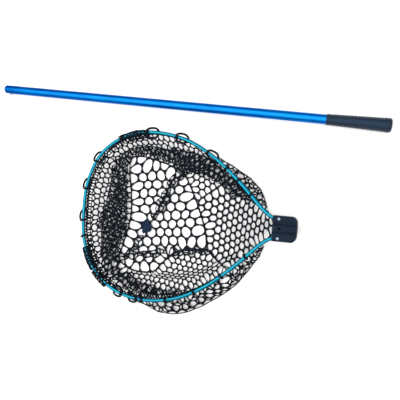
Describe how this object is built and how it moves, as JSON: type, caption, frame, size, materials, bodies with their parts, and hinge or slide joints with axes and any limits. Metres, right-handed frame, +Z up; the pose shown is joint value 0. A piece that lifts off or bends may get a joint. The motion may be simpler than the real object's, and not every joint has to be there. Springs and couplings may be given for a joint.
{
  "type": "landing net",
  "caption": "Landing net with its handle taken out: teal tube hoop, collapsed black rubber mesh bag, moulded yoke with a socket, and a blue tube handle with a snap button and ribbed grip.",
  "frame": {"origin": "middle of the ground rectangle that the laid-out net and handle cover", "axes": "+X along the hoop's axis from its nose to the yoke, +Z up from the ground"},
  "size_m": [1.0282, 0.575, 0.0604],
  "materials": {
    "teal_anodised": "satin anodised tube",
    "blue_anodised": "satin anodised tube",
    "yoke_nylon": "moulded, lightly textured",
    "bush_nylon": "moulded",
    "steel": "polished stainless steel",
    "net_rubber": "moulded rubber strands, slightly glossy",
    "grip_rubber": "matt moulded rubber with rings",
    "foam": "closed-cell foam"
  },
  "bodies": {
    "head": {"hoop_tube": "teal_anodised", "yoke_upper": "yoke_nylon", "yoke_lower": "yoke_nylon", "yoke_screw_right": "steel", "yoke_nut_right": "steel", "yoke_screw_left": "steel", "yoke_nut_left": "steel", "bag_wall_yoke": "net_rubber", "bag_wall_right": "net_rubber", "bag_wall_nose": "net_rubber", "bag_wall_left": "net_rubber", "bag_seam_yoke": "net_rubber", "bag_seam_right": "net_rubber", "bag_seam_nose": "net_rubber", "bag_seam_left": "net_rubber", "bag_floor": "net_rubber", "floor_seam_yoke": "net_rubber", "floor_seam_left": "net_rubber", "floor_seam_gather": "net_rubber", "bag_tie": "net_rubber", "net_loop_01": "net_rubber", "net_loop_02": "net_rubber", "net_loop_03": "net_rubber", "net_loop_04": "net_rubber", "net_loop_05": "net_rubber", "net_loop_06": "net_rubber", "net_loop_07": "net_rubber", "net_loop_08": "net_rubber", "net_loop_09": "net_rubber", "net_loop_10": "net_rubber", "net_loop_11": "net_rubber", "net_loop_12": "net_rubber", "net_loop_13": "net_rubber", "net_loop_14": "net_rubber", "net_loop_15": "net_rubber", "net_loop_16": "net_rubber", "net_loop_17": "net_rubber", "net_loop_18": "net_rubber", "net_loop_19": "net_rubber", "net_loop_20": "net_rubber", "net_loop_21": "net_rubber"},
    "mouth_bush": {"socket_bush": "bush_nylon"},
    "front_bung": {"float_bung_front": "foam"},
    "rear_bung": {"float_bung_rear": "foam"},
    "handle": {"handle_tube": "blue_anodised", "handle_grip": "grip_rubber", "button_spring": "steel"},
    "button": {"snap_button": "steel"}
  },
  "joints": [
    {"name": "socket_turn", "type": "hinge", "parent": "head", "child": "mouth_bush", "pos_m": [0.32757, -0.0432, 0.045], "axis": [1, 0, 0], "range_deg": [0, 90]},
    {"name": "handle_carry", "type": "slide", "parent": "mouth_bush", "child": "front_bung", "axis": [0.9476, -0.3174, 0.0347], "range_m": [0, 0.8982]},
    {"name": "handle_roll", "type": "hinge", "parent": "front_bung", "child": "rear_bung", "pos_m": [-0.01515, 0.24193, 0.01382], "axis": [0.9994, -0.0349, 0.0027], "range_deg": [0, 180]},
    {"name": "handle_insert", "type": "slide", "parent": "rear_bung", "child": "handle", "axis": [-0.9975, 0.0698, -0.0054], "range_m": [0, 0.066]},
    {"name": "button_press", "type": "slide", "parent": "handle", "child": "button", "axis": [0.0698, 0.9976, 0], "range_m": [0, 0.004], "stiffness_N_per_m": 600, "springref_m": -0.001, "deforming": ["button_spring"]}
  ],
  "couplings": [
    {"joint": "socket_turn", "follows": "handle_carry", "rad_per_m": 1.7487},
    {"joint": "handle_roll", "follows": "handle_carry", "rad_per_m": 3.4974}
  ]
}
